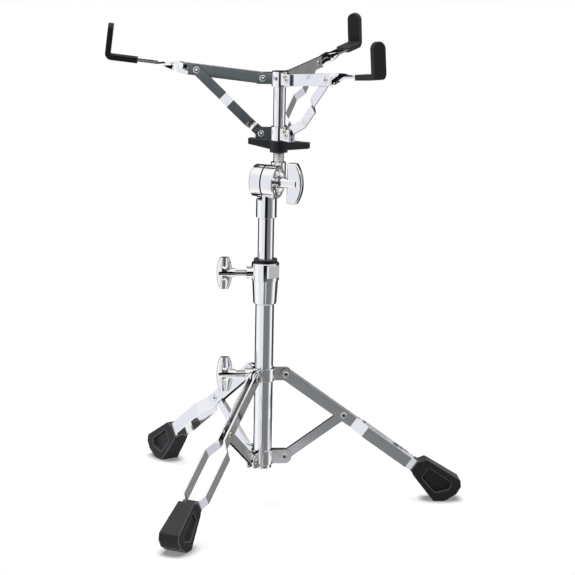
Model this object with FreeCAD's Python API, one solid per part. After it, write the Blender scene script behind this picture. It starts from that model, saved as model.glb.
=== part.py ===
import FreeCAD, Part
import math
import os

# A snare drum stand: a folding tripod with double strip legs, a telescoping column, a tilter
# and a basket with three hinged arms. Millimetres. The origin is on the floor under the column,
# +Z is up, and +X runs out along the right leg.

V = FreeCAD.Vector

# Fits
RUN = 0.05  # radial play of a round piece that turns or slides in another
SIDE_PLAY = 0.15  # play beside a plate that turns between two others
OVERRUN = 5.0  # how far a cutting tool runs past what it cuts

# Angles of a full and a quarter turn, degrees
FULL_ANGLE = 360
QUARTER_ANGLE = 90

# Column
LOWER_TUBE_D = 22.2
LOWER_TUBE_WALL = 1.4
LOWER_TUBE_LENGTH = 228.0
TUBE_BELOW_COLLAR = 4.9
UPPER_TUBE_D = 19.05
UPPER_TUBE_WALL = 1.2
UPPER_TUBE_LENGTH = 225.0
UPPER_TUBE_SHOWN_LENGTH = 90.0  # above the end of the lower tube

# Tripod: a leg and its brace are equally long between their pivots
LEG_NAMES = ("right", "back", "front")
COLLAR_NAMES = ("back", "left", "front")
LEG_ANGLE = 54.2  # from the column, degrees
LEG_HINGE_R = 26.0
LINK = 86.0
LEG_W = 14.0
LEG_T = 2.2
LEG_GAP = 6.0
LEG_SPREAD = 27.0  # between the middles of the strips where they stand apart
SPREAD_GAP = 15.0  # between the brace's rivet and the bend where the strips part
JOGGLE_LENGTH = 16.0  # of the slanting part between two bends
LOOP_LENGTH = 64.7  # where the strips run apart
STRIP_IN_FOOT_LENGTH = 34.0
BRACE_H = 11.0
BRACE_T = 1.3
COLLAR_T = 2.0
LEG_COLLAR_H = 15.5
BRACE_COLLAR_H = 17.0

# Rubber foot, drawn along the leg from the leg's hinge
FOOT_LAP_LENGTH = 7.7  # of the strips' last slant that lies inside the neck
FOOT_LENGTH = 64.0
FOOT_HEIGHT = 41.5
FOOT_NECK_W = 18.4
FOOT_TOE_W = 26.0
FOOT_CORNER_R = 2.5
FOOT_POCKET_DEPTH = 4.0
FOOT_POCKET_R = 2.0
FOOT_RIB_R = 0.5
FOOT_SOLE_CUT = 1.0
FOOT_OUTLINE_SHARES = (
    (0.0, 0.181), (0.062, 0.183), (0.14, 0.365), (0.9, 0.45), (0.985, 0.3), (1.0, 0.05),
    (0.912, -0.275), (0.822, -0.434), (0.744, -0.516), (0.131, -0.248), (0.062, -0.183), (0.0, -0.178),
)
FOOT_POCKET_SHARES = ((0.266, 0.217), (0.79, 0.235), (0.835, 0.04), (0.66, -0.275), (0.281, -0.155))
FOOT_RIB_SHARES = ((0.994, 0.2), (0.998, 0.1), (0.987, 0.0), (0.963, -0.09), (0.939, -0.18))

# Rivets
RIVET_D = 5.0
RIVET_HOLE_D = 2.8
RIVET_HEAD_D = 7.6
RIVET_HEAD_T = 1.0
RIVET_CROWN_SHARE = 0.8

# Lock of the sliding collar
LOCK_NUT_D = 13.0
LOCK_NUT_END = 22.5
LOCK_SCREW_D = 8.0
LOCK_WING_R = 46.2
LOCK_WING_W = 19.0
LOCK_WING_H = 41.0

# Clamp at the top of the lower tube
CLAMP_SOCKET_H = 29.0
CLAMP_RING_H = 20.5
CLAMP_FOOT_D = 27.4
CLAMP_FOOT_R = 1.8
CLAMP_SOCKET_D = 30.8
CLAMP_RING_D = 32.6
CLAMP_RING_R = 1.5
CLAMP_PAD_W = 15.0
CLAMP_PAD_H = 14.5
CLAMP_PAD_RISE = 3.8  # of its middle above the screw
CLAMP_PAD_R = 17.6
CLAMP_PAD_AZIMUTH = 300
CLAMP_SCREW_RISE = 7.5
CLAMP_BOSS_D = 15.0
CLAMP_BOSS_END = 22.5
CLAMP_SCREW_D = 7.0
CLAMP_WING_R = 48.0
CLAMP_WING_W = 18.0
CLAMP_WING_H = 37.5
BUSHING_T = 2.9
BUSHING_FLANGE_D = 27.6
BUSHING_FLANGE_T = 4.0

# Wing handles: a barrel with a thumb hollow above and below the hub on both faces
WING_T = 10.0
WING_HUB_D = 11.0
WING_NECK = 3.5
WING_HOLLOW_W = 8.4
WING_HOLLOW_DEPTH = 2.0
WING_HUB_SHARE = 0.8
WING_END_SHARE = 0.84
WING_TAPER_SHARE = 0.4
WING_SECTIONS = 8
OVAL_POINTS = 12

# Tilter: its own X runs along the tilting axis, its Y points at the basket's post
TILTER_AZIMUTH = -30
DRUM_D = 39.0
UPPER_DRUM_T = 14.5
LOWER_DRUM_T = 15.0
DRUM_CHAMFER = 1.0
DRUM_DISH_D = 30.0
DRUM_DISH_DEPTH = 5.0
DRUM_BOSS_D = 14.0
PARTING_W = 0.8  # of the groove, on each disc
PARTING_DEPTH = 2.4
SOCKET_D = 24.4
SOCKET_DROP = 42.0
SOCKET_TOP_DROP = 21.0
SOCKET_SEAT_DROP = 26.0
SOCKET_NECK_DROP = 9.0
POST_OFFSET = 31.0
HOLDER_D = 18.0
HOLDER_BELOW = 7.0
HOLDER_ABOVE = 18.5
HOLDER_WEB_T = 10.0
HOLDER_WEB_BACK = 1.5
HOLDER_WEB_ABOVE = 9.0
TILTER_BOLT_D = 8.0
TILTER_HEAD_D = 14.0
TILTER_HEAD_T = 4.0
TILTER_BOLT_END = 36.0
WING_NUT_HUB_D = 12.4
WING_NUT_FACE = 26.5
WING_NUT_SHOULDER = 38.5
WING_NUT_BULGE = 46.0
WING_NUT_H = 48.0
WING_NUT_T = 9.0
WING_NUT_EDGE_R = 2.6

# Basket: post, hubs and nut
BASKET_TURN = -2.5
POST_D = 14.6
THREAD_D = 13.4
THREAD_PITCH = 1.75
THREAD_DEPTH = 0.9
POST_TOP_CHAMFER = 1.0
ROD_SHOWN_LENGTH = 26.0  # between the tilter and the lower hub
HUB_D = 19.4
LOWER_HUB_H = 16.0
HUB_SPACING = 64.5  # between the hinges of struts and arms
UPPER_HUB_BELOW = 9.5
UPPER_HUB_ABOVE = 8.0
LUG_REACH = 6.6  # past the pivot
LUG_W = 8.2
LUG_H = 13.6
LUG_SLOT_R = 12.4
SET_SCREW_D = 5.0
SET_SCREW_KEY_D = 2.6
SET_SCREW_KEY_DEPTH = 1.6
SET_SCREW_SUNK = 0.4
NUT_H = 14.2
NUT_D = 21.0
NUT_SPAN = 78.0
NUT_TIP_H = 7.2
NUT_TIP_W = 6.4
NUT_ROOT_W = 10.0
NUT_ROOT_DROP = 11.0
NUT_EDGE_R = 1.4

# Basket: arms, sleeves and struts
ARM_NAMES = ("left", "front", "back")
ARM_ANGLE = 6.4  # above level, degrees
ARM_HINGE_R = 20.3
ARM_LENGTH = 181.0
ARM_W = 14.0
ARM_T = 2.6
ARM_RIVET = 77.4
ARM_RISE = 2.6  # how much the flat part lies above the middle of the part on edge
TWIST_CLEAR = 8.2  # between the rivet and the twist
TWIST_SHARE = 0.62  # of the bar left between rivet and sleeve
TWIST_SECTIONS = 8
HOOK_RISE = 38.8
HOOK_BEND_R = 4.4
HOOK_TIP_PLAY = 2.5
SLEEVE_LENGTH = 35.0
SLEEVE_W = 16.6
SLEEVE_T = 6.6
STRUT_HINGE_R = 21.1
STRUT_W = 11.5
STRUT_T = 1.6
STRUT_SPREAD = 9.6  # how far the middle of the strut stands beside its arm
STRUT_BEND_SHARES = (0.1, 0.2, 0.48, 0.59)

# Sizes that follow from the ones above
LOWER_TUBE_R = LOWER_TUBE_D / 2
UPPER_TUBE_R = UPPER_TUBE_D / 2
RIVET_R = RIVET_D / 2
DRUM_R = DRUM_D / 2
POST_R = POST_D / 2
LEG_COS = math.cos(math.radians(LEG_ANGLE))
LEG_SIN = math.sin(math.radians(LEG_ANGLE))
LEG_SECTOR = FULL_ANGLE / len(LEG_NAMES)
ARM_SECTOR = FULL_ANGLE / len(ARM_NAMES)
SPREAD_START = LINK + SPREAD_GAP
SPREAD_FULL = SPREAD_START + JOGGLE_LENGTH
CLOSE_START = SPREAD_FULL + LOOP_LENGTH
CLOSE_END = CLOSE_START + JOGGLE_LENGTH
FOOT_NECK = CLOSE_END - FOOT_LAP_LENGTH
STRIP_END = FOOT_NECK + STRIP_IN_FOOT_LENGTH
BRACE_W = LEG_GAP - 2 * SIDE_PLAY
LEG_OUTER_W = LEG_GAP + 2 * LEG_T
BUSHING_R = UPPER_TUBE_R + RUN + BUSHING_T
CLAMP_BORE_R = BUSHING_R + RUN
WING_HOLLOW_R = (WING_HOLLOW_W**2 / 4 + WING_HOLLOW_DEPTH**2) / (2 * WING_HOLLOW_DEPTH)
ARM_SLOT_W = ARM_T + 2 * SIDE_PLAY
STRUT_SLOT_W = STRUT_T + 2 * SIDE_PLAY

# Heights, from the floor up: the sole of the foot sets the leg's hinge, and the rest stands on it
FOOT_DROPS = [
    (FOOT_NECK + a * FOOT_LENGTH) * LEG_COS - b * FOOT_HEIGHT * LEG_SIN for a, b in FOOT_OUTLINE_SHARES
]
LEG_HINGE_Z = max(FOOT_DROPS) - FOOT_SOLE_CUT
BRACE_HINGE_Z = LEG_HINGE_Z - 2 * LINK * LEG_COS
LOWER_TUBE_BOTTOM = BRACE_HINGE_Z - BRACE_COLLAR_H / 2 - TUBE_BELOW_COLLAR
CLAMP_SEAT = LOWER_TUBE_BOTTOM + LOWER_TUBE_LENGTH
CLAMP_BOTTOM = CLAMP_SEAT - CLAMP_SOCKET_H
CLAMP_TOP = CLAMP_SEAT + CLAMP_RING_H
CLAMP_SCREW_Z = CLAMP_SEAT + CLAMP_SCREW_RISE
UPPER_TUBE_TOP = CLAMP_SEAT + UPPER_TUBE_SHOWN_LENGTH
TILTER_Z = UPPER_TUBE_TOP + SOCKET_SEAT_DROP
LOWER_HUB_BOTTOM = TILTER_Z + HOLDER_ABOVE + ROD_SHOWN_LENGTH
LOWER_HUB_TOP = LOWER_HUB_BOTTOM + LOWER_HUB_H
STRUT_HINGE_Z = LOWER_HUB_BOTTOM + LOWER_HUB_H / 2
ARM_HINGE_Z = STRUT_HINGE_Z + HUB_SPACING
UPPER_HUB_BOTTOM = ARM_HINGE_Z - UPPER_HUB_BELOW
UPPER_HUB_TOP = ARM_HINGE_Z + UPPER_HUB_ABOVE

# Places along an arm, and the strut that closes the triangle of hubs and arm
TWIST_START = ARM_RIVET + TWIST_CLEAR
SLEEVE_START = ARM_LENGTH - SLEEVE_LENGTH
TWIST_END = TWIST_START + TWIST_SHARE * (SLEEVE_START - TWIST_START)
ARM_RIVET_R = ARM_HINGE_R + ARM_RIVET * math.cos(math.radians(ARM_ANGLE))
ARM_RIVET_Z = ARM_HINGE_Z + ARM_RIVET * math.sin(math.radians(ARM_ANGLE))
STRUT_L = math.hypot(ARM_RIVET_R - STRUT_HINGE_R, ARM_RIVET_Z - STRUT_HINGE_Z)
STRUT_ANGLE = math.degrees(math.atan2(ARM_RIVET_Z - STRUT_HINGE_Z, ARM_RIVET_R - STRUT_HINGE_R))


def block(x0, x1, y0, y1, z0, z1):
    return Part.makeBox(x1 - x0, y1 - y0, z1 - z0, V(x0, y0, z0))


def bar(radius, start, end):
    """A round bar from one point to another."""
    return Part.makeCylinder(radius, (end - start).Length, start, end - start)


def column(radius, z0, z1):
    return bar(radius, V(0, 0, z0), V(0, 0, z1))


def along_x(radius, x0, x1, z=0):
    return bar(radius, V(x0, 0, z), V(x1, 0, z))


def cross_pin(radius, half, x=0, z=0):
    """A round bar across the Y axis, centred on it."""
    return bar(radius, V(x, -half, z), V(x, half, z))


def prism(points, travel):
    return Part.Face(Part.makePolygon(points + points[:1])).extrude(travel)


def side_prism(outline, y0, y1):
    """A flat outline in X and Z, given thickness along Y."""
    return prism([V(x, y0, z) for x, z in outline], V(0, y1 - y0, 0))


def top_prism(outline, z0, z1):
    """A flat outline in X and Y, given height along Z."""
    return prism([V(x, y, z0) for x, y in outline], V(0, 0, z1 - z0))


def turned(outline, axis):
    """A ring or bar turned from an outline of (radius, place along the axis)."""
    points = [V(r, 0, a) if axis.z else V(a, 0, r) for r, a in outline]
    return Part.Face(Part.makePolygon(points + points[:1])).revolve(V(0, 0, 0), axis, FULL_ANGLE)


def round_ended(x0, x1, radius, y0, y1, round_start):
    """A plate on edge along X whose far end, and its near end if asked, is a half circle."""
    low, high = -radius, radius
    edges = [
        Part.makeLine(V(x0, y0, low), V(x1, y0, low)),
        Part.Arc(V(x1, y0, low), V(x1 + radius, y0, 0), V(x1, y0, high)).toShape(),
        Part.makeLine(V(x1, y0, high), V(x0, y0, high)),
    ]
    if round_start:
        edges.append(Part.Arc(V(x0, y0, high), V(x0 - radius, y0, 0), V(x0, y0, low)).toShape())
    else:
        edges.append(Part.makeLine(V(x0, y0, high), V(x0, y0, low)))
    return Part.Face(Part.Wire(edges)).extrude(V(0, y1 - y0, 0))


def unit_normal(start, end):
    dx, dy = end[0] - start[0], end[1] - start[1]
    length = math.hypot(dx, dy)
    return -dy / length, dx / length


def bent_strip(path, thickness, width):
    """A flat strip bent along a path in X and Y, standing on edge about Z = 0."""
    left, right = [], []
    for i, (x, y) in enumerate(path):
        before = unit_normal(path[i - 1], path[i]) if i else unit_normal(path[0], path[1])
        after = unit_normal(path[i], path[i + 1]) if i + 1 < len(path) else before
        mx, my = (before[0] + after[0]) / 2, (before[1] + after[1]) / 2
        reach = thickness / 2 / (mx * before[0] + my * before[1])
        left.append((x + mx * reach, y + my * reach))
        right.append((x - mx * reach, y - my * reach))
    return top_prism(left + right[::-1], -width / 2, width / 2)


def turn(shape, azimuth):
    shape = shape.copy()
    shape.rotate(V(0, 0, 0), V(0, 0, 1), azimuth)
    return shape


def pitch(shape, drop, r, z):
    """Tips a piece drawn along X down by an angle and moves its start to a radius and height."""
    shape = shape.copy()
    shape.rotate(V(0, 0, 0), V(0, 1, 0), drop)
    shape.translate(V(r, 0, z))
    return shape


def lift(shape, z):
    shape = shape.copy()
    shape.translate(V(0, 0, z))
    return shape


def on_tilter(shape):
    return lift(turn(shape, TILTER_AZIMUTH), TILTER_Z)


def on_post(shape):
    """Moves a piece drawn around the Z axis to the axis of the basket's post."""
    shape = shape.copy()
    shape.translate(turn_point(V(0, POST_OFFSET, 0), TILTER_AZIMUTH))
    return shape


def turn_point(point, azimuth):
    return FreeCAD.Rotation(V(0, 0, 1), azimuth).multVec(point)


def around(names, first):
    """Spreads names evenly around the column, from a first azimuth."""
    return {name: first + i * FULL_ANGLE / len(names) for i, name in enumerate(names)}


def leg_turns():
    return around(LEG_NAMES, 0)


def collar_turns():
    """The collar plates stand between the legs."""
    return around(COLLAR_NAMES, LEG_SECTOR / 2)


def arm_turns():
    return around(ARM_NAMES, FULL_ANGLE / 2 + BASKET_TURN)


def rim(shape, radius, z):
    """The round edges of a turned piece at one height."""
    found = []
    for edge in shape.Edges:
        if edge.isClosed() and abs(edge.Curve.Radius - radius) + abs(edge.CenterOfMass.z - z) < RUN:
            found.append(edge)
    return found


def runs_across(edge):
    """Whether an edge runs along Y."""
    first, last = [vertex.Point for vertex in edge.Vertexes]
    return abs(first.x - last.x) + abs(first.z - last.z) < RUN


def rivet(grip):
    """A hollow rivet across the Y axis whose heads close on the given grip."""
    half = grip / 2
    body = cross_pin(RIVET_R, half)
    for side in (-1, 1):
        body = body.fuse(rivet_head(side, half))
    return body.cut(cross_pin(RIVET_HOLE_D / 2, half + RIVET_HEAD_T + OVERRUN))


def rivet_head(side, start):
    crown = RIVET_HEAD_D / 2 * RIVET_CROWN_SHARE
    return Part.makeCone(RIVET_HEAD_D / 2, crown, RIVET_HEAD_T, V(0, side * start, 0), V(0, side, 0))


def rivet_stub(side, start, end):
    """Half of a hollow rivet, through one plate only, with its head outside."""
    shank = bar(RIVET_R, V(0, side * start, 0), V(0, side * end, 0))
    hole = bar(RIVET_HOLE_D / 2, V(0, side * (start - OVERRUN), 0), V(0, side * (end + OVERRUN), 0))
    return shank.fuse(rivet_head(side, end)).cut(hole)


def tube(diameter, wall, z0, z1):
    inner = column(diameter / 2 - wall, z0 - OVERRUN, z1 + OVERRUN)
    return column(diameter / 2, z0, z1).cut(inner)


def collar_plate(inner_r, ear_in, height, rivet_play):
    """One plate of a three-plate collar, centred on +X, with an ear beside each neighbouring leg."""
    outer_r = inner_r + COLLAR_T
    ear_out = ear_in + COLLAR_T
    reach = outer_r + OVERRUN
    plate = column(outer_r, -height / 2, height / 2)
    ears = []
    for side in (-1, 1):
        y0, y1 = sorted((-side * ear_in, side * reach))
        beyond = block(-reach, reach, y0, y1, -height, height)
        plate = plate.cut(turn(beyond, side * LEG_SECTOR / 2))
        y0, y1 = sorted((-side * ear_in, -side * ear_out))
        ear = round_ended(0, LEG_HINGE_R, height / 2, y0, y1, False)
        hole = cross_pin(RIVET_R + rivet_play, ear_out + OVERRUN, LEG_HINGE_R)
        ears.append(turn(ear.cut(hole), side * LEG_SECTOR / 2))
    plate = plate.multiFuse(ears).cut(column(inner_r, -height, height))
    return plate.removeSplitter()


def leg_collar_plate():
    ear_out = LEG_GAP / 2 - SIDE_PLAY
    return lift(collar_plate(LOWER_TUBE_R + RUN, ear_out - COLLAR_T, LEG_COLLAR_H, 0), LEG_HINGE_Z)


def locked_collar_plate():
    """The left plate of the sliding collar, drilled for the lock screw."""
    hole = along_x(LOCK_SCREW_D / 2 + RUN, 0, LOCK_NUT_END, LEG_HINGE_Z)
    return leg_collar_plate().cut(hole)


def brace_collar_plate():
    return lift(collar_plate(LOWER_TUBE_R, LEG_GAP / 2, BRACE_COLLAR_H, 0), BRACE_HINGE_Z)


def collar_rivets(grip, z):
    one = pitch(rivet(grip), 0, LEG_HINGE_R, z)
    return Part.makeCompound([turn(one, azimuth) for azimuth in leg_turns().values()])


def leg_strip(side):
    """One strip of a leg, drawn along X from the leg's hinge."""
    near = (LEG_GAP + LEG_T) / 2
    far = LEG_SPREAD / 2
    start = -LEG_W / 2
    stations = (
        (start, near), (SPREAD_START, near), (SPREAD_FULL, far),
        (CLOSE_START, far), (CLOSE_END, near), (STRIP_END, near),
    )
    strip = bent_strip([(x, side * y) for x, y in stations], LEG_T, LEG_W)
    half = LEG_SPREAD
    strip = strip.common(round_ended(0, STRIP_END, LEG_W / 2, -half, half, True))
    strip = strip.cut(cross_pin(RIVET_R + RUN, half))
    return strip.cut(cross_pin(RIVET_R, half, LINK))


def foot_points(shares):
    return [(FOOT_NECK + a * FOOT_LENGTH, b * FOOT_HEIGHT) for a, b in shares]


def foot_blank():
    """The rubber foot before it is cut off at the floor and for the strips."""
    half = FOOT_TOE_W / 2
    blank = side_prism(foot_points(FOOT_OUTLINE_SHARES), -half, half)
    past_neck = FOOT_NECK + FOOT_CORNER_R
    corners = [e for e in blank.Edges if runs_across(e) and e.CenterOfMass.x > past_neck]
    blank = blank.makeFillet(FOOT_CORNER_R, corners)
    neck_half = FOOT_NECK_W / 2
    end = FOOT_NECK + FOOT_LENGTH + OVERRUN
    start = FOOT_NECK - OVERRUN
    wedge = top_prism(
        [(start, -neck_half), (end, -half), (end, half), (start, neck_half)], -FOOT_HEIGHT, FOOT_HEIGHT
    )
    blank = blank.common(wedge)
    for side in (-1, 1):
        floor = (neck_half + half) / 2 - FOOT_POCKET_DEPTH
        y0, y1 = sorted((side * floor, side * (half + OVERRUN)))
        pocket = side_prism(foot_points(FOOT_POCKET_SHARES), y0, y1)
        pocket = pocket.makeFillet(FOOT_POCKET_R, [e for e in pocket.Edges if runs_across(e)])
        blank = blank.cut(pocket)
    for x, z in foot_points(FOOT_RIB_SHARES):
        blank = blank.cut(cross_pin(FOOT_RIB_R, half + OVERRUN, x, z))
    return blank


def on_leg(shape):
    return pitch(shape, QUARTER_ANGLE - LEG_ANGLE, LEG_HINGE_R, LEG_HINGE_Z)


def foot():
    rubber = foot_blank()
    for side in (-1, 1):
        rubber = rubber.cut(leg_strip(side))
    reach = LEG_HINGE_R + FOOT_NECK + FOOT_LENGTH
    below = block(0, reach, -FOOT_TOE_W, FOOT_TOE_W, -FOOT_HEIGHT, 0)
    return on_leg(rubber).cut(below)


def leg_rivet():
    rivet_at_brace = rivet(LEG_OUTER_W)
    rivet_at_brace.translate(V(LINK, 0, 0))
    return on_leg(rivet_at_brace)


def brace():
    """A folded channel between the lower collar and the middle of a leg."""
    half = BRACE_W / 2
    channel = round_ended(0, LINK, BRACE_H / 2, -half, half, True)
    wall = half - BRACE_T
    inside = block(-BRACE_H, LINK + BRACE_H, -wall, wall, -BRACE_H, BRACE_H / 2 - BRACE_T)
    channel = channel.cut(inside)
    for x in (0, LINK):
        channel = channel.cut(cross_pin(RIVET_R + RUN, BRACE_W, x))
    return pitch(channel, LEG_ANGLE - QUARTER_ANGLE, LEG_HINGE_R, BRACE_HINGE_Z)


def oval(width, depth, z):
    """A closed smooth curve in X and Y at one height."""
    points = []
    for i in range(OVAL_POINTS):
        angle = 2 * math.pi * i / OVAL_POINTS
        points.append(V(width / 2 * math.cos(angle), depth / 2 * math.sin(angle), z))
    curve = Part.BSplineCurve()
    curve.interpolate(points, PeriodicFlag=True)
    return Part.Wire([curve.toShape()])


def wing_barrel(width, height):
    """The body of a wing handle: ellipses stacked along Z, narrower towards both ends."""
    sections = []
    for i in range(WING_SECTIONS + 1):
        level = 2 * i / WING_SECTIONS - 1
        fullness = math.sqrt(1 - (level * WING_END_SHARE) ** 2)
        thickness = WING_T * (1 - WING_TAPER_SHARE * (1 - fullness))
        sections.append(oval(fullness * width, thickness, level * height / 2))
    return Part.makeLoft(sections, True)


def wing_hollow(side, up, height):
    """The tool for a thumb hollow: a round bar along Z with a ball at the end by the hub."""
    y = side * (WING_T / 2 - WING_HOLLOW_DEPTH + WING_HOLLOW_R)
    start = V(0, y, up * (WING_HUB_D + WING_HOLLOW_W) / 2)
    end = V(0, y, up * (height / 2 + OVERRUN))
    return bar(WING_HOLLOW_R, start, end).fuse(Part.makeSphere(WING_HOLLOW_R, start))


def wing_handle(width, height, screw_d):
    """A wing handle with its hub along X, centred on the origin and bored for its screw."""
    wing = wing_barrel(width, height)
    for side in (-1, 1):
        for up in (-1, 1):
            wing = wing.cut(wing_hollow(side, up, height))
    inner = width / 2 + WING_NECK
    tip = width / 2 * WING_HUB_SHARE
    wing = wing.fuse(along_x(WING_HUB_D / 2, -tip, inner))
    return wing.cut(along_x(screw_d / 2, 0, inner + OVERRUN))


def wing_screw(screw_d, wing_r, tip_r):
    """A plain screw from the middle of a wing handle to the piece it presses on, along -X."""
    return along_x(screw_d / 2, -wing_r, -tip_r)


def lock_nut():
    """The round nut on the left plate of the sliding collar."""
    seat_r = LOWER_TUBE_R + RUN + COLLAR_T
    nut = along_x(LOCK_NUT_D / 2, -LOCK_NUT_END, 0)
    nut = nut.cut(column(seat_r, -LOCK_NUT_D, LOCK_NUT_D))
    nut = nut.cut(along_x(LOCK_SCREW_D / 2 + RUN, -LOCK_NUT_END - OVERRUN, 0))
    return lift(nut, LEG_HINGE_Z)


def collar_wing_handle():
    wing = wing_handle(LOCK_WING_W, LOCK_WING_H, LOCK_SCREW_D)
    wing.translate(V(-LOCK_WING_R, 0, LEG_HINGE_Z))
    return wing


def collar_wing_screw():
    return lift(wing_screw(LOCK_SCREW_D, LOCK_WING_R, LOWER_TUBE_R), LEG_HINGE_Z)


def height_clamp():
    """The casting on top of the lower tube, with a boss for the wing screw and a flat pad."""
    outline = [
        (0, CLAMP_BOTTOM), (CLAMP_FOOT_D / 2, CLAMP_BOTTOM), (CLAMP_SOCKET_D / 2, CLAMP_SEAT),
        (CLAMP_RING_D / 2, CLAMP_SEAT), (CLAMP_RING_D / 2, CLAMP_TOP), (0, CLAMP_TOP),
    ]
    casting = turned(outline, V(0, 0, 1))
    casting = casting.makeFillet(CLAMP_FOOT_R, rim(casting, CLAMP_FOOT_D / 2, CLAMP_BOTTOM))
    casting = casting.makeFillet(CLAMP_RING_R, rim(casting, CLAMP_RING_D / 2, CLAMP_TOP))
    boss = along_x(CLAMP_BOSS_D / 2, -CLAMP_BOSS_END, 0, CLAMP_SCREW_Z)
    half_w, half_h = CLAMP_PAD_W / 2, CLAMP_PAD_H / 2
    pad_z = CLAMP_SCREW_Z + CLAMP_PAD_RISE
    pad = block(0, CLAMP_PAD_R, -half_w, half_w, pad_z - half_h, pad_z + half_h)
    casting = casting.multiFuse([boss, turn(pad, CLAMP_PAD_AZIMUTH)])
    casting = casting.cut(column(LOWER_TUBE_R, CLAMP_BOTTOM - OVERRUN, CLAMP_SEAT))
    casting = casting.cut(column(CLAMP_BORE_R, CLAMP_SEAT, CLAMP_TOP + OVERRUN))
    return casting.cut(along_x(CLAMP_SCREW_D / 2 + RUN, -CLAMP_BOSS_END - OVERRUN, 0, CLAMP_SCREW_Z))


def clamp_bushing():
    outline = [
        (UPPER_TUBE_R + RUN, CLAMP_SEAT), (BUSHING_R, CLAMP_SEAT), (BUSHING_R, CLAMP_TOP),
        (BUSHING_FLANGE_D / 2, CLAMP_TOP), (BUSHING_FLANGE_D / 2, CLAMP_TOP + BUSHING_FLANGE_T),
        (UPPER_TUBE_R + RUN, CLAMP_TOP + BUSHING_FLANGE_T),
    ]
    return turned(outline, V(0, 0, 1))


def clamp_wing_handle():
    wing = wing_handle(CLAMP_WING_W, CLAMP_WING_H, CLAMP_SCREW_D)
    wing.translate(V(-CLAMP_WING_R, 0, CLAMP_SCREW_Z))
    return wing


def clamp_wing_screw():
    return lift(wing_screw(CLAMP_SCREW_D, CLAMP_WING_R, CLAMP_BORE_R), CLAMP_SCREW_Z)


def drum(side, thickness):
    """A disc of the tilter along X, on one side of the parting, with a groove at the parting."""
    inner = DRUM_R - DRUM_CHAMFER
    groove = DRUM_R - PARTING_DEPTH
    far = side * thickness
    outline = [
        (0, 0), (groove, 0), (groove, side * PARTING_W), (DRUM_R, side * PARTING_W),
        (DRUM_R, far - side * DRUM_CHAMFER), (inner, far), (0, far),
    ]
    return turned(outline, V(1, 0, 0))


def tilter_lower_half():
    """The right disc of the tilter with the socket that sits on the upper tube."""
    floor = LOWER_DRUM_T - DRUM_DISH_DEPTH
    dish = along_x(DRUM_DISH_D / 2, floor, LOWER_DRUM_T + OVERRUN)
    dish = dish.cut(along_x(DRUM_BOSS_D / 2, 0, LOWER_DRUM_T + OVERRUN))
    socket_r = SOCKET_D / 2
    socket = column(socket_r, -SOCKET_DROP, -SOCKET_NECK_DROP)
    over = block(-SOCKET_D, 0, -SOCKET_D, SOCKET_D, -SOCKET_TOP_DROP, 0)
    half = drum(1, LOWER_DRUM_T).cut(dish).fuse(socket.cut(over))
    half = half.cut(column(UPPER_TUBE_R, -SOCKET_DROP - OVERRUN, -SOCKET_SEAT_DROP))
    return half.cut(along_x(TILTER_BOLT_D / 2 + RUN, -OVERRUN, LOWER_DRUM_T + OVERRUN))


def tilter_upper_half():
    """The left disc of the tilter with the holder of the basket's post behind it."""
    back = -HOLDER_WEB_BACK - HOLDER_WEB_T
    web = block(back, -HOLDER_WEB_BACK, 0, POST_OFFSET, -HOLDER_BELOW, HOLDER_WEB_ABOVE)
    holder = column(HOLDER_D / 2, -HOLDER_BELOW, HOLDER_ABOVE)
    bore = column(THREAD_D / 2, -HOLDER_BELOW - OVERRUN, HOLDER_ABOVE + OVERRUN)
    for shape in (holder, bore):
        shape.translate(V(0, POST_OFFSET, 0))
    half = drum(-1, UPPER_DRUM_T).multiFuse([web, holder]).cut(bore)
    return half.cut(along_x(TILTER_BOLT_D / 2, -UPPER_DRUM_T - OVERRUN, OVERRUN))


def tilter_bolt():
    shank = along_x(TILTER_BOLT_D / 2, -UPPER_DRUM_T, TILTER_BOLT_END)
    return shank.fuse(along_x(TILTER_HEAD_D / 2, -UPPER_DRUM_T - TILTER_HEAD_T, -UPPER_DRUM_T))


def tilter_wing_nut():
    """A wing nut whose wings are flat toward the tilter and bulge outwards."""
    y0, half = -WING_NUT_T / 2, WING_NUT_H / 2
    corners = [
        V(WING_NUT_SHOULDER, y0, -half), V(WING_NUT_FACE, y0, -half),
        V(WING_NUT_FACE, y0, half), V(WING_NUT_SHOULDER, y0, half),
    ]
    edges = [Part.makeLine(a, b) for a, b in zip(corners, corners[1:])]
    edges.append(Part.Arc(corners[-1], V(WING_NUT_BULGE, y0, 0), corners[0]).toShape())
    wings = Part.Face(Part.Wire(edges)).extrude(V(0, WING_NUT_T, 0))
    wings = wings.makeFillet(WING_NUT_EDGE_R, wings.Edges)
    nut = wings.fuse(along_x(WING_NUT_HUB_D / 2, LOWER_DRUM_T, WING_NUT_SHOULDER))
    return nut.cut(along_x(TILTER_BOLT_D / 2 + RUN, 0, TILTER_BOLT_END + RUN))


def basket_rod():
    """The basket's post, turned in one piece with the threaded rod under it."""
    thread_r = THREAD_D / 2
    root_r = thread_r - THREAD_DEPTH
    top = UPPER_HUB_TOP
    step = LOWER_HUB_BOTTOM + POST_TOP_CHAMFER
    z = TILTER_Z + HOLDER_ABOVE
    outline = [(0, TILTER_Z - HOLDER_BELOW), (thread_r, TILTER_Z - HOLDER_BELOW), (thread_r, z)]
    for i in range(int(ROD_SHOWN_LENGTH / THREAD_PITCH)):
        outline.append((root_r, z + (i + 1 / 2) * THREAD_PITCH))
        outline.append((thread_r, z + (i + 1) * THREAD_PITCH))
    outline += [
        (thread_r, step), (POST_R, step), (POST_R, top - POST_TOP_CHAMFER),
        (POST_R - POST_TOP_CHAMFER, top), (0, top),
    ]
    return turned(outline, V(0, 0, 1))


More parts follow.
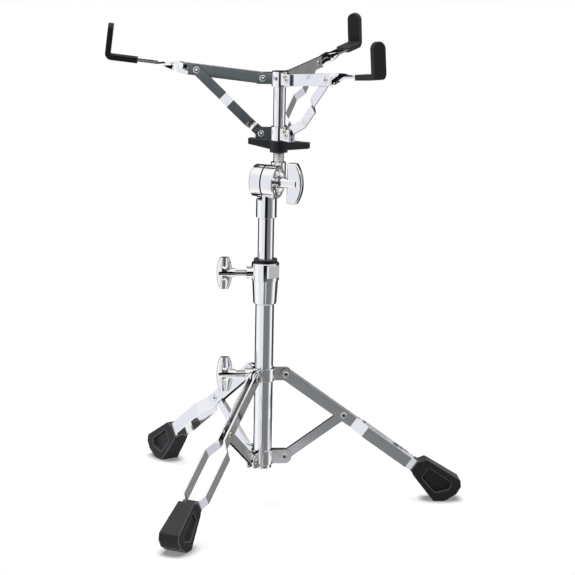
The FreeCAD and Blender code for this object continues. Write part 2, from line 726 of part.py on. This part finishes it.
def hub(z0, z1, bore_r, hinge_r, hinge_z, slot_w):
    """A hub on the post with a slotted lug for each arm or strut."""
    half_h, half_w, half_slot = LUG_H / 2, LUG_W / 2, slot_w / 2
    reach = hinge_r + LUG_REACH
    lug = block(0, reach, -half_w, half_w, hinge_z - half_h, hinge_z + half_h)
    lug = lug.cut(block(LUG_SLOT_R, reach + OVERRUN, -half_slot, half_slot, z0 - OVERRUN, z1 + OVERRUN))
    lug = lug.cut(cross_pin(RIVET_R, LUG_W, hinge_r, hinge_z))
    casting = column(HUB_D / 2, z0, z1).multiFuse([turn(lug, azimuth) for azimuth in arm_turns().values()])
    return casting.cut(column(bore_r, z0 - OVERRUN, z1 + OVERRUN))


def set_screw_tool(start, end):
    tool = bar(SET_SCREW_D / 2, V(-start, 0, ARM_HINGE_Z), V(-end, 0, ARM_HINGE_Z))
    return turn(tool, ARM_SECTOR / 2 + BASKET_TURN)


def upper_hub():
    casting = hub(UPPER_HUB_BOTTOM, UPPER_HUB_TOP, POST_R, ARM_HINGE_R, ARM_HINGE_Z, ARM_SLOT_W)
    return on_post(casting.cut(set_screw_tool(0, HUB_D)))


def hub_set_screw():
    """A socket screw through the upper hub onto the post."""
    end = HUB_D / 2 - SET_SCREW_SUNK
    screw = set_screw_tool(0, end).cut(column(POST_R, UPPER_HUB_BOTTOM, UPPER_HUB_TOP))
    start = V(-end + SET_SCREW_KEY_DEPTH, 0, ARM_HINGE_Z)
    key = bar(SET_SCREW_KEY_D / 2, start, V(-HUB_D, 0, ARM_HINGE_Z))
    return on_post(screw.cut(turn(key, ARM_SECTOR / 2 + BASKET_TURN)))


def lower_hub():
    play = POST_R + RUN
    return on_post(hub(LOWER_HUB_BOTTOM, LOWER_HUB_TOP, play, STRUT_HINGE_R, STRUT_HINGE_Z, STRUT_SLOT_W))


def hub_rivets(hinge_r, hinge_z):
    one = pitch(rivet(LUG_W), 0, hinge_r, hinge_z)
    return on_post(Part.makeCompound([turn(one, azimuth) for azimuth in arm_turns().values()]))


def basket_nut():
    """The plastic nut under the lower hub, with two long wings along the tilter's axis."""
    half = NUT_SPAN / 2
    root = NUT_D / 2
    side = [
        (-half, 0), (half, 0), (half, -NUT_TIP_H),
        (root, -NUT_ROOT_DROP), (-root, -NUT_ROOT_DROP), (-half, -NUT_TIP_H),
    ]
    tip_half, root_half = NUT_TIP_W / 2, NUT_ROOT_W / 2
    top = [
        (-half, -tip_half), (0, -root_half), (half, -tip_half),
        (half, tip_half), (0, root_half), (-half, tip_half),
    ]
    wings = side_prism(side, -NUT_ROOT_W, NUT_ROOT_W).common(top_prism(top, -NUT_H, 0))
    tips = [e for e in wings.Edges if abs(abs(e.CenterOfMass.x) - half) < RUN]
    wings = wings.makeFillet(NUT_EDGE_R, tips)
    nut = wings.fuse(column(root, -NUT_H, 0)).cut(column(THREAD_D / 2 + RUN, -NUT_H - OVERRUN, OVERRUN))
    return on_post(lift(turn(nut, TILTER_AZIMUTH), LOWER_HUB_BOTTOM))


def hook(width, thickness, start, rise):
    """A flat bar along X that bends up at the arm's end and closes with a half circle."""
    half_w, half_t = width / 2, thickness / 2
    bend = ARM_LENGTH - HOOK_BEND_R
    flat = block(start, bend, -half_w, half_w, -half_t, half_t)
    section = Part.Face(bar_section(bend, half_w, half_t))
    corner = section.revolve(V(bend, 0, HOOK_BEND_R), V(0, -1, 0), QUARTER_ANGLE)
    upright = round_ended(0, rise - HOOK_BEND_R - half_w, half_w, -half_t, half_t, False)
    upright.rotate(V(0, 0, 0), V(0, 1, 0), -QUARTER_ANGLE)
    upright.rotate(V(0, 0, 0), V(0, 0, 1), QUARTER_ANGLE)
    upright.translate(V(ARM_LENGTH, 0, HOOK_BEND_R))
    return lift(flat.multiFuse([corner, upright]).removeSplitter(), ARM_RISE)


def bar_section(x, half_y, half_z):
    """A rectangle across the X axis."""
    corners = [V(x, -half_y, -half_z), V(x, half_y, -half_z), V(x, half_y, half_z), V(x, -half_y, half_z)]
    return Part.makePolygon(corners + corners[:1])


def twist():
    """The quarter twist between the edge-on and the flat part of an arm, which lies a step higher."""
    sections = []
    for i in range(TWIST_SECTIONS + 1):
        share = i / TWIST_SECTIONS
        x = TWIST_START + share * (TWIST_END - TWIST_START)
        section = bar_section(x, ARM_T / 2, ARM_W / 2)
        section.rotate(V(x, 0, 0), V(1, 0, 0), -QUARTER_ANGLE * share)
        section.translate(V(0, 0, ARM_RISE * share))
        sections.append(section)
    return Part.makeLoft(sections, True)


def arm_blank():
    """A basket arm drawn along X from its hinge: on edge, twisted flat, then bent up."""
    half_t = ARM_T / 2
    on_edge = round_ended(0, TWIST_START, ARM_W / 2, -half_t, half_t, True)
    beyond = block(TWIST_START, ARM_LENGTH, -ARM_T, ARM_T, -ARM_W, ARM_W)
    flat = hook(ARM_W, ARM_T, TWIST_END, HOOK_RISE - HOOK_TIP_PLAY)
    arm = on_edge.cut(beyond).multiFuse([twist(), flat])
    arm = arm.cut(cross_pin(RIVET_R, ARM_W, ARM_RIVET))
    return arm.cut(cross_pin(RIVET_R + RUN, ARM_W))


def sleeve_blank():
    rubber = hook(SLEEVE_W, SLEEVE_T, SLEEVE_START, HOOK_RISE)
    return rubber.cut(hook(ARM_W, ARM_T, TWIST_END, HOOK_RISE - HOOK_TIP_PLAY))


def on_arm(shape, azimuth):
    return on_post(turn(pitch(shape, -ARM_ANGLE, ARM_HINGE_R, ARM_HINGE_Z), azimuth))


def strut():
    """A strut drawn along X: in the lower hub's slot, out to one side, then in beside its arm."""
    beside = (ARM_SLOT_W + STRUT_T) / 2
    a, b, c, d = [share * STRUT_L for share in STRUT_BEND_SHARES]
    start, end = -STRUT_W / 2, STRUT_L + STRUT_W / 2
    stations = ((start, 0), (a, 0), (b, STRUT_SPREAD), (c, STRUT_SPREAD), (d, beside), (end, beside))
    half = STRUT_SPREAD + STRUT_T
    strip = bent_strip(stations, STRUT_T, STRUT_W)
    strip = strip.common(round_ended(0, STRUT_L, STRUT_W / 2, -half, half, True))
    strip = strip.cut(cross_pin(RIVET_R + RUN, half))
    return strip.cut(cross_pin(RIVET_R, half, STRUT_L))


def strut_rivet():
    """The end of the joining rivet that sits in the strut."""
    start = ARM_SLOT_W / 2
    stub = rivet_stub(1, start, start + STRUT_T)
    stub.translate(V(STRUT_L, 0, 0))
    return stub


def arm_rivet():
    """The other end of the joining rivet, which sits in the arm."""
    stub = rivet_stub(-1, -ARM_T / 2, ARM_T / 2)
    stub.translate(V(ARM_RIVET, 0, 0))
    return stub


def on_strut(shape, azimuth):
    return on_post(turn(pitch(shape, -STRUT_ANGLE, STRUT_HINGE_R, STRUT_HINGE_Z), azimuth))


def tripod():
    pieces = {"brace_collar_rivets": collar_rivets(LEG_GAP + 2 * COLLAR_T, BRACE_HINGE_Z)}
    pieces["leg_collar_rivets"] = collar_rivets(LEG_OUTER_W, LEG_HINGE_Z)
    for name, azimuth in collar_turns().items():
        plate = locked_collar_plate() if name == "left" else leg_collar_plate()
        pieces["leg_collar_" + name] = turn(plate, azimuth)
        pieces["brace_collar_" + name] = turn(brace_collar_plate(), azimuth)
    for name, azimuth in leg_turns().items():
        pieces["brace_" + name] = turn(brace(), azimuth)
        pieces["foot_" + name] = turn(foot(), azimuth)
        pieces["leg_rivet_" + name] = turn(leg_rivet(), azimuth)
        for letter, side in (("a", -1), ("b", 1)):
            pieces["leg_%s_strip_%s" % (name, letter)] = turn(on_leg(leg_strip(side)), azimuth)
    pieces["collar_lock_nut"] = lock_nut()
    pieces["collar_wing_handle"] = collar_wing_handle()
    pieces["collar_wing_screw"] = collar_wing_screw()
    return pieces


def column_pieces():
    upper_bottom = UPPER_TUBE_TOP - UPPER_TUBE_LENGTH
    return {
        "lower_tube": tube(LOWER_TUBE_D, LOWER_TUBE_WALL, LOWER_TUBE_BOTTOM, CLAMP_SEAT),
        "upper_tube": tube(UPPER_TUBE_D, UPPER_TUBE_WALL, upper_bottom, UPPER_TUBE_TOP),
        "height_clamp": height_clamp(),
        "clamp_bushing": clamp_bushing(),
        "clamp_wing_handle": clamp_wing_handle(),
        "clamp_wing_screw": clamp_wing_screw(),
        "tilter_lower_half": on_tilter(tilter_lower_half()),
        "tilter_upper_half": on_tilter(tilter_upper_half()),
        "tilter_bolt": on_tilter(tilter_bolt()),
        "tilter_wing_nut": on_tilter(tilter_wing_nut()),
    }


def basket():
    pieces = {
        "basket_rod": on_post(basket_rod()),
        "upper_hub": upper_hub(),
        "hub_set_screw": hub_set_screw(),
        "lower_hub": lower_hub(),
        "basket_nut": basket_nut(),
        "arm_hinge_rivets": hub_rivets(ARM_HINGE_R, ARM_HINGE_Z),
        "strut_hinge_rivets": hub_rivets(STRUT_HINGE_R, STRUT_HINGE_Z),
    }
    for name, azimuth in arm_turns().items():
        pieces["arm_" + name] = on_arm(arm_blank(), azimuth)
        pieces["sleeve_" + name] = on_arm(sleeve_blank(), azimuth)
        pieces["arm_rivet_" + name] = on_arm(arm_rivet(), azimuth)
        pieces["strut_" + name] = on_strut(strut(), azimuth)
        pieces["strut_rivet_" + name] = on_strut(strut_rivet(), azimuth)
    return pieces


os.makedirs("parts", exist_ok=True)
for group in (tripod(), column_pieces(), basket()):
    for name, shape in group.items():
        shape.exportStep("parts/%s.step" % name)
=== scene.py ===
"""Looks of a snare drum stand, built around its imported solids. Metres, in the solids' own frame."""

import math

import bpy
from mathutils import Matrix, Vector

MM = 0.001
WHITE = (1.0, 1.0, 1.0)

# Camera, fitted to the photograph: place in metres, angles in degrees, focal length in pixels
CAMERA_PLACE = (-0.2197, -2.6176, 0.8178)
CAMERA_YAW = -5.37
CAMERA_PITCH = 11.99
CAMERA_ROLL = 1.09
FOCAL_PIXELS = 2292.0
FRAME_PIXELS = 575
SENSOR_WIDTH = 36.0

# Studio: what bright metal reflects. Azimuths run from +X towards +Y, in degrees.
# name: (middle azimuth, half width, softness, lowest and highest elevation, colour)
# A card lies over the ones before it.
CARDS = {
    "left_fade": (227, 24, 10, -80, 50, (0.83, 0.84, 0.9)),
    "left_wall": (153, 12, 5, -80, 50, (0.82, 0.84, 0.92)),
    "panel_fade": (316, 24, 10, -45, 14, (0.38, 0.39, 0.41)),
    "right_panel": (288, 36, 3, -45, 14, (0.19, 0.2, 0.205)),
    "camera_gap": (267, 17, 3, -11.8, 14, (0.155, 0.18, 0.187)),
    "strut_gap": (267, 17, 3, -11.8, -6.9, (0.062, 0.073, 0.082)),
    "camera_core": (256, 7, 2, -11.8, 14, (0.002, 0.002, 0.003)),
    "camera_foot": (262, 12, 2, -11.8, -8.4, (0.002, 0.002, 0.003)),
    "front_high": (275, 12, 3, -3.5, 34, (0.003, 0.003, 0.004)),
    "front_low": (275, 12, 3, -45, -19.5, (0.003, 0.003, 0.004)),
    "low_front": (272, 4.6, 1, -20, -16.1, (0.6, 0.6, 0.63)),
    "low_right": (357, 16, 5, -80, -28, (0.62, 0.62, 0.7)),
    "right_shade": (37, 28, 2, -80, 50, (0.003, 0.003, 0.006)),
    "right_flag": (32.5, 3.5, 1.5, -80, 50, (0.25, 0.25, 0.25)),
    "left_shade": (121, 24, 2, -80, 50, (0.006, 0.004, 0.006)),
    "back_low": (84, 30, 3, 1, 28, (0.01, 0.01, 0.012)),
    "upper_flag": (90, 60, 3, 36, 60, (0.01, 0.01, 0.012)),
}
CARD_TOP_SOFTNESS = 0.4
ROOM_LEVEL = 0.345
# name: (place, size, power, whether it throws a shadow)
LAMPS = {
    "soft_box": ((-0.25, 0.35, 2.4), 2.2, 23.4, True),
    "right_fill": ((2.2, 0.2, 0.8), 1.2, 48.0, False),
    "left_fill": ((-2.2, 0.1, 0.9), 1.2, 41.0, False),
}

# Floor: a disc with a painted contact shadow, darker close to what stands on it, by how open the place is
FLOOR_RADIUS = 0.36
FLOOR_CORNERS = 96
FLOOR_COLOUR = (0.885, 0.885, 0.892)
FLOOR_GLOW = 0.1
PAINTED_SHADOW_REACH = 15 * MM
PAINTED_SHADOW_SPAN = (0.5, 0.95)
PAINTED_SHADOW_COLOUR = (0.25, 0.25, 0.25)

# Plated metal: sizes and depths of its marks, and how they change its gloss
SMUDGE_SIZE = 22 * MM
SMUDGE_DETAIL = 4.0
SMUDGE_SPAN = (0.5, 0.8)
SMUDGE_ROUGHNESS = 0.05
SMUDGE_SHADE = 0.97
POLISH_LINE_SIZE = 0.35 * MM
POLISH_DETAIL = 2.0
POLISH_STRETCH = (40, 40, 1)
POLISH_ROUGHNESS = 0.02
POLISH_DEPTH = 0.0004 * MM
WAVE_SIZE = 30 * MM
WAVE_DETAIL = 0.0
PLATE_WAVE_DEPTH = 0.08 * MM
ROUND_WAVE_DEPTH = 0.01 * MM

# Painted shade where two faces meet or lie close together, by how open the place is
STRIP_CREVICE = 9 * MM
CAST_CREVICE = 3.5 * MM
CREVICE_SPAN = (0.28, 0.72)
CREVICE_SHADE = 0.04

# name: (colour, roughness, depth of the waves, reach of the painted crevice shade)
CHROME_COLOUR = (0.95, 0.95, 0.955)
PLATED_METALS = {
    "strip_chrome": (CHROME_COLOUR, 0.08, PLATE_WAVE_DEPTH, STRIP_CREVICE),
    "rivet_metal": ((0.9, 0.86, 0.77), 0.12, ROUND_WAVE_DEPTH, CAST_CREVICE),
    "dark_steel": ((0.6, 0.6, 0.61), 0.12, ROUND_WAVE_DEPTH, CAST_CREVICE),
    "tube_chrome": (CHROME_COLOUR, 0.02, ROUND_WAVE_DEPTH, CAST_CREVICE),
    "cast_chrome": (CHROME_COLOUR, 0.02, PLATE_WAVE_DEPTH, CAST_CREVICE),
}

# Rubber and plastic: uneven gloss, dust and painted light on faces that look up, and a painted highlight
# along outer edges
GRAIN_DETAIL = 3.0
CLOUD_SIZE = 14 * MM
CLOUD_DETAIL = 5.0
CLOUD_SPAN = (0.3, 0.7)
CLOUD_ROUGHNESS = 0.07
# Dust, and painted light from above: faces that look up turn paler
DUST_AND_TOP_LIGHT_SPAN = (0.1, 0.75)
DUST_AND_TOP_LIGHT_SHARE = 0.21
DUST_AND_TOP_LIGHT_COLOUR = (0.29, 0.29, 0.305)
RUBBER_SHEEN = 0.16
# Painted highlight along outer edges: reach, span, share and colour
EDGE_HIGHLIGHT_REACH = 1.4 * MM
EDGE_HIGHLIGHT_SPAN = (0.55, 0.9)
EDGE_HIGHLIGHT_SHARE = 0.32
EDGE_HIGHLIGHT_COLOUR = (0.32, 0.32, 0.326)

# name: (colour, roughness, size and depth of the grain)
MOULDED_BLACKS = {
    "black_rubber": ((0.0203, 0.021, 0.0225), 0.5, 0.7 * MM, 0.05 * MM),
    "sleeve_rubber": ((0.016, 0.016, 0.0174), 0.4, 0.5 * MM, 0.02 * MM),
    "black_plastic": ((0.0232, 0.0232, 0.0261), 0.42, 0.4 * MM, 0.02 * MM),
    "bushing_plastic": ((0.0116, 0.0116, 0.013), 0.3, 0.4 * MM, 0.01 * MM),
}

# By words in the names of the solids, in these three tables: the first that fits is used
LOOKS = {
    "rivet": "rivet_metal", "foot": "black_rubber", "sleeve": "sleeve_rubber",
    "basket_nut": "black_plastic", "bushing": "bushing_plastic", "screw": "dark_steel",
    "tube": "tube_chrome", "leg": "strip_chrome", "brace": "strip_chrome",
    "arm": "strip_chrome", "strut": "strip_chrome", "": "cast_chrome",
}
EDGE_ROUNDS = {
    "foot": 0.9 * MM, "sleeve": 0.8 * MM, "nut": 0.4 * MM, "rivet": 0.2 * MM,
    "rod": 0.3 * MM, "tube": 0.25 * MM, "": 0.3 * MM,
}
# The least angle that counts as an edge, in degrees: low for bent strip, higher for turned parts
BENT_ANGLE = 12.0
TURNED_ANGLE = 32.0
EDGE_ANGLES = {"strip": BENT_ANGLE, "brace": BENT_ANGLE, "strut": BENT_ANGLE, "": TURNED_ANGLE}
EDGE_SEGMENTS = 2
FLAT_ANGLE = 0.4
WELD_REACH = 0.002 * MM
LARGE_FACE_WEIGHT = 100

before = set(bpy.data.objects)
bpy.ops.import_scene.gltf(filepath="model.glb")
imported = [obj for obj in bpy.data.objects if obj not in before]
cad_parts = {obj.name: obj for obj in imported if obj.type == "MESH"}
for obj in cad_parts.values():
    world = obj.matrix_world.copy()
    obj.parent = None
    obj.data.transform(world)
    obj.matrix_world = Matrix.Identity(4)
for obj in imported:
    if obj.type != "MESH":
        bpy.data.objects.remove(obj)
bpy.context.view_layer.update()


class Nodes:
    """A short way to write a node tree: add nodes, set their sockets and link them."""

    def __init__(self, tree):
        self.tree = tree
        tree.nodes.clear()

    def add(self, kind, inputs=None, **settings):
        node = self.tree.nodes.new(kind)
        for name, value in settings.items():
            setattr(node, name, value)
        for name, value in (inputs or {}).items():
            if isinstance(value, bpy.types.NodeSocket):
                self.tree.links.new(value, node.inputs[name])
            else:
                node.inputs[name].default_value = value
        return node

    def math(self, operation, first, second=0.0, third=0.0):
        node = self.add("ShaderNodeMath", {0: first, 1: second, 2: third}, operation=operation)
        return node.outputs[0]

    def place(self):
        return self.add("ShaderNodeTexCoord").outputs["Object"]

    def noise(self, place, size, detail, stretch=(1, 1, 1)):
        """A noise whose features are about a size in metres, longer along an axis by its stretch."""
        scale = [1 / (size * part) for part in stretch]
        scaled = self.add("ShaderNodeVectorMath", {0: place, 1: scale}, operation="MULTIPLY")
        node = self.add("ShaderNodeTexNoise", {"Vector": scaled.outputs[0], "Scale": 1.0, "Detail": detail})
        return node.outputs[0]

    def spread(self, value, span, result=(0.0, 1.0)):
        """A value carried from one span to another, and held at the ends."""
        inputs = {"Value": value, "From Min": span[0], "From Max": span[1]}
        node = self.add("ShaderNodeMapRange", {**inputs, "To Min": result[0], "To Max": result[1]})
        return node.outputs[0]

    def mix_colour(self, factor, first, second):
        """Sockets 6 and 7 and output 2 of the node are the ones for colours."""
        node = self.add("ShaderNodeMix", {0: factor, 6: first, 7: second}, data_type="RGBA")
        return node.outputs[2]

    def mix_shader(self, factor, first, second):
        inputs = {0: factor, 1: first.outputs[0], 2: second.outputs[0]}
        return self.add("ShaderNodeMixShader", inputs)


def rgba(colour, shade=1.0):
    return (*(part * shade for part in colour), 1.0)


def new_material(name):
    material = bpy.data.materials.new(name)
    material.use_nodes = True
    return material, Nodes(material.node_tree)


def make_camera():
    """A camera at the photograph's place, turned about its own axes."""
    yaw, pitch, roll = (math.radians(a) for a in (CAMERA_YAW, CAMERA_PITCH, CAMERA_ROLL))
    turn = Matrix.Rotation(yaw, 3, "Z") @ Matrix.Rotation(math.pi / 2 - pitch, 3, "X")
    turn = turn @ Matrix.Rotation(roll, 3, "Z")
    data = bpy.data.cameras.new("camera")
    data.sensor_width = SENSOR_WIDTH
    data.lens = SENSOR_WIDTH * FOCAL_PIXELS / FRAME_PIXELS
    camera = bpy.data.objects.new("camera", data)
    camera.matrix_world = Matrix.Translation(CAMERA_PLACE) @ turn.to_4x4()
    bpy.context.scene.collection.objects.link(camera)
    bpy.context.scene.camera = camera


def band(nodes, value, middle, half, softness):
    """One inside a band around the middle, zero outside, with soft edges."""
    away = nodes.math("ABSOLUTE", nodes.math("SUBTRACT", value, middle))
    ramp = nodes.add(
        "ShaderNodeMapRange",
        {"Value": away, "From Min": half + softness, "From Max": half - softness},
        interpolation_type="SMOOTHSTEP",
    )
    return ramp.outputs[0]


def card_factor(nodes, azimuth, elevation, card):
    """One where a direction meets a card, zero beside it."""
    middle, half, softness, low, high, _ = card
    turned = nodes.math("SUBTRACT", azimuth, math.radians(middle))
    wrapped = nodes.math("WRAP", turned, math.pi, -math.pi)
    across = band(nodes, wrapped, 0.0, math.radians(half), math.radians(softness))
    rise = math.radians(high - low) / 2
    upright = band(nodes, elevation, math.radians(high + low) / 2, rise, math.radians(CARD_TOP_SOFTNESS))
    return nodes.math("MULTIPLY", across, upright)


def make_world():
    """White all round for the camera and the light, with cards that only reflections show."""
    world = bpy.data.worlds.new("studio")
    bpy.context.scene.world = world
    world.use_nodes = True
    nodes = Nodes(world.node_tree)
    direction = nodes.add("ShaderNodeTexCoord").outputs["Generated"]
    axes = nodes.add("ShaderNodeSeparateXYZ", {0: direction}).outputs
    azimuth = nodes.math("ARCTAN2", axes[1], axes[0])
    elevation = nodes.math("ARCSINE", axes[2])
    colour = rgba(WHITE)
    for card in CARDS.values():
        colour = nodes.mix_colour(card_factor(nodes, azimuth, elevation, card), colour, rgba(card[-1]))
    path = nodes.add("ShaderNodeLightPath").outputs
    reflected = nodes.add("ShaderNodeBackground", {"Color": colour})
    light = nodes.add("ShaderNodeBackground", {"Color": rgba(WHITE), "Strength": ROOM_LEVEL})
    seen = nodes.add("ShaderNodeBackground", {"Color": rgba(WHITE)})
    lit = nodes.mix_shader(path["Is Glossy Ray"], light, reflected)
    shown = nodes.mix_shader(path["Is Camera Ray"], lit, seen)
    nodes.add("ShaderNodeOutputWorld", {"Surface": shown.outputs[0]})


def make_lamp(name, place, size, power, shadow):
    """A round lamp that looks at the frame's origin and that metal doesn't show."""
    data = bpy.data.lights.new(name, "AREA")
    data.shape = "DISK"
    data.size = size
    data.energy = power
    data.use_shadow = shadow
    lamp = bpy.data.objects.new(name, data)
    lamp.location = place
    lamp.rotation_euler = (-Vector(place)).to_track_quat("-Z", "Y").to_euler()
    lamp.visible_glossy = False
    bpy.context.scene.collection.objects.link(lamp)


def openness(nodes, reach, span):
    """Zero where other faces are close by, one in the open."""
    around = nodes.add("ShaderNodeAmbientOcclusion", {"Distance": reach})
    return nodes.spread(around.outputs["AO"], span)


def make_floor():
    """A white disc under the stand that keeps its lamp shadow and adds a painted contact shadow."""
    bpy.ops.mesh.primitive_circle_add(vertices=FLOOR_CORNERS, radius=FLOOR_RADIUS, fill_type="NGON")
    floor = bpy.context.object
    floor.name = "floor"
    material, nodes = new_material("white_floor")
    path = nodes.add("ShaderNodeLightPath").outputs
    # painted contact shadow: the floor's colour darkens close to what stands on it
    clear = openness(nodes, PAINTED_SHADOW_REACH, PAINTED_SHADOW_SPAN)
    tint = nodes.mix_colour(clear, rgba(PAINTED_SHADOW_COLOUR), rgba(FLOOR_COLOUR))
    diffuse = nodes.add("ShaderNodeBsdfDiffuse", {"Color": tint})
    glow = nodes.math("MULTIPLY", path["Is Camera Ray"], FLOOR_GLOW)
    emission = nodes.add("ShaderNodeEmission", {"Color": rgba(WHITE), "Strength": glow})
    both = nodes.add("ShaderNodeAddShader", {0: diffuse.outputs[0], 1: emission.outputs[0]})
    nodes.add("ShaderNodeOutputMaterial", {"Surface": both.outputs[0]})
    floor.data.materials.append(material)
    floor.visible_glossy = False


def bumped(nodes, height, depth, normal=None):
    """A normal from a height of 0 to 1 that stands for a real depth in metres."""
    inputs = {"Height": height, "Distance": depth, "Strength": 1.0}
    if normal:
        inputs["Normal"] = normal
    return nodes.add("ShaderNodeBump", inputs).outputs[0]


def painted_edge_highlight(nodes):
    """How much painted highlight an outer edge gets: nothing on a face, most along a sharp edge."""
    within = nodes.add("ShaderNodeAmbientOcclusion", {"Distance": EDGE_HIGHLIGHT_REACH}, inside=True, only_local=True)
    return nodes.spread(within.outputs["AO"], EDGE_HIGHLIGHT_SPAN, (EDGE_HIGHLIGHT_SHARE, 0.0))


def plated(name, colour, roughness, wave_depth, crevice_shade_reach):
    """Plated steel: polish lines, faint smudges, the soft waves of pressed metal and painted shade in
    crevices.
    """
    material, nodes = new_material(name)
    place = nodes.place()
    smudge = nodes.noise(place, SMUDGE_SIZE, SMUDGE_DETAIL)
    lines = nodes.noise(place, POLISH_LINE_SIZE, POLISH_DETAIL, POLISH_STRETCH)
    dull = nodes.spread(smudge, SMUDGE_SPAN, (roughness, roughness + SMUDGE_ROUGHNESS))
    rough = nodes.math("MULTIPLY_ADD", lines, POLISH_ROUGHNESS, dull)
    waves = bumped(nodes, nodes.noise(place, WAVE_SIZE, WAVE_DETAIL), wave_depth)
    normal = bumped(nodes, lines, POLISH_DEPTH, waves)
    tint = nodes.mix_colour(smudge, rgba(colour), rgba(colour, SMUDGE_SHADE))
    # painted shade: the colour turns nearly black where other faces are close by
    clear = openness(nodes, crevice_shade_reach, CREVICE_SPAN)
    tint = nodes.mix_colour(clear, rgba(colour, CREVICE_SHADE), tint)
    shader = nodes.add(
        "ShaderNodeBsdfPrincipled",
        {"Base Color": tint, "Metallic": 1.0, "Roughness": rough, "Normal": normal},
    )
    nodes.add("ShaderNodeOutputMaterial", {"Surface": shader.outputs[0]})
    return material


def moulded(name, colour, roughness, grain_size, grain_depth):
    """Black rubber or plastic: mould grain, uneven gloss, dust and painted light on top, and painted
    highlights along edges.
    """
    material, nodes = new_material(name)
    place = nodes.place()
    grain = nodes.noise(place, grain_size, GRAIN_DETAIL)
    cloud = nodes.noise(place, CLOUD_SIZE, CLOUD_DETAIL)
    rough = nodes.spread(cloud, CLOUD_SPAN, (roughness - CLOUD_ROUGHNESS, roughness + CLOUD_ROUGHNESS))
    facing = nodes.add("ShaderNodeNewGeometry").outputs["Normal"]
    upward = nodes.add("ShaderNodeSeparateXYZ", {0: facing}).outputs[2]
    # dust, and painted light from above: faces that look up turn paler in specks
    dust_and_top_light = nodes.math("MULTIPLY", nodes.spread(upward, DUST_AND_TOP_LIGHT_SPAN, (0.0, DUST_AND_TOP_LIGHT_SHARE)), grain)
    tint = nodes.mix_colour(dust_and_top_light, rgba(colour), rgba(DUST_AND_TOP_LIGHT_COLOUR))
    # painted highlight: outer edges turn paler
    tint = nodes.mix_colour(painted_edge_highlight(nodes), tint, rgba(EDGE_HIGHLIGHT_COLOUR))
    shader = nodes.add(
        "ShaderNodeBsdfPrincipled",
        {
            "Base Color": tint, "Roughness": rough, "Specular IOR Level": RUBBER_SHEEN,
            "Normal": bumped(nodes, grain, grain_depth),
        },
    )
    nodes.add("ShaderNodeOutputMaterial", {"Surface": shader.outputs[0]})
    return material


def make_materials():
    metals = {name: plated(name, *values) for name, values in PLATED_METALS.items()}
    blacks = {name: moulded(name, *values) for name, values in MOULDED_BLACKS.items()}
    return {**metals, **blacks}


def round_edges(node, radius, least_angle):
    """Joins the facets along their shared edges and rounds the sharp ones."""
    weld = node.modifiers.new("weld", "WELD")
    weld.merge_threshold = WELD_REACH
    flatten = node.modifiers.new("flatten", "DECIMATE")
    flatten.decimate_type = "DISSOLVE"
    flatten.angle_limit = math.radians(FLAT_ANGLE)
    bevel = node.modifiers.new("bevel", "BEVEL")
    bevel.width = radius
    bevel.segments = EDGE_SEGMENTS
    bevel.limit_method = "ANGLE"
    bevel.angle_limit = math.radians(least_angle)
    bevel.miter_outer = "MITER_ARC"
    node.data.shade_smooth()
    shade = node.modifiers.new("shade", "WEIGHTED_NORMAL")
    shade.mode = "FACE_AREA"
    shade.weight = LARGE_FACE_WEIGHT


def fitting(table, name):
    """The value of the first word in the table that the name holds."""
    return next(value for word, value in table.items() if word in name)


def dress():
    """Gives each solid its material and its rounded edges."""
    materials = make_materials()
    for name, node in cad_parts.items():
        node.data.materials.clear()
        node.data.materials.append(materials[fitting(LOOKS, name)])
        round_edges(node, fitting(EDGE_ROUNDS, name), fitting(EDGE_ANGLES, name))


bpy.context.scene.view_settings.view_transform = "Standard"
make_camera()
make_world()
for lamp, settings in LAMPS.items():
    make_lamp(lamp, *settings)
make_floor()
dress()
